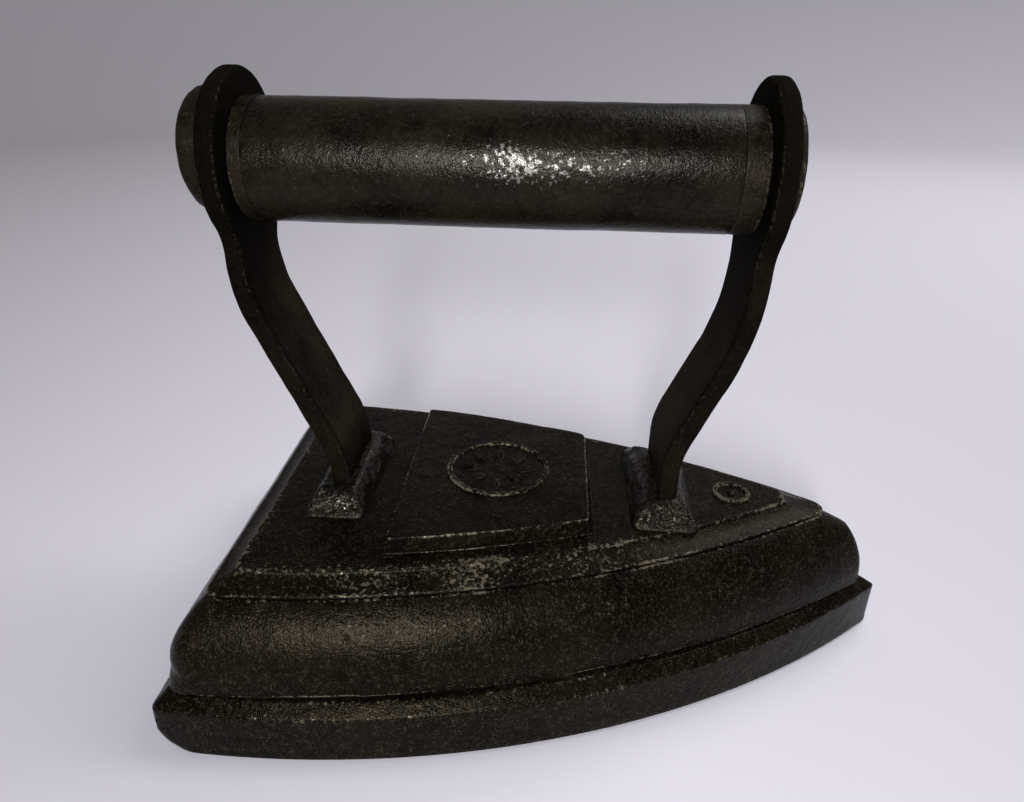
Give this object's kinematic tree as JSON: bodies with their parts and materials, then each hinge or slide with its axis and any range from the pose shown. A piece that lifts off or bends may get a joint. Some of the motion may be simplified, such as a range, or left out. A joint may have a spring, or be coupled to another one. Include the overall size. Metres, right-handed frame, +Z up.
{
  "type": "flat iron",
  "caption": "Solid cast flat iron for laundry, with a pointed sole, a moulded top with a raised panel, and a round tube handle riveted between two forged uprights.",
  "frame": {"origin": "under the middle of the sole's length and width, on the plane that the iron stands on", "axes": "+X towards the toe, +Y towards the iron's left side seen from behind, +Z up through the handle"},
  "size_m": [0.1624, 0.105, 0.1308],
  "materials": {
    "cast_iron": "rough cast, blackened and lightly pitted",
    "forged_iron": "forged, dark scale, slightly pitted",
    "handle_sheet": "dark aged steel, hammered and satin from use",
    "ferrule_iron": "dark steel, a little paler than the tube",
    "rivet_iron": "hammered, dark, worn edges"
  },
  "bodies": {
    "root": {"body_casting": "cast_iron", "rear_upright": "forged_iron", "front_upright": "forged_iron", "handle_tube": "handle_sheet", "rear_ferrule": "ferrule_iron", "front_ferrule": "ferrule_iron", "handle_rivet": "rivet_iron", "front_washer": "rivet_iron"}
  },
  "joints": []
}
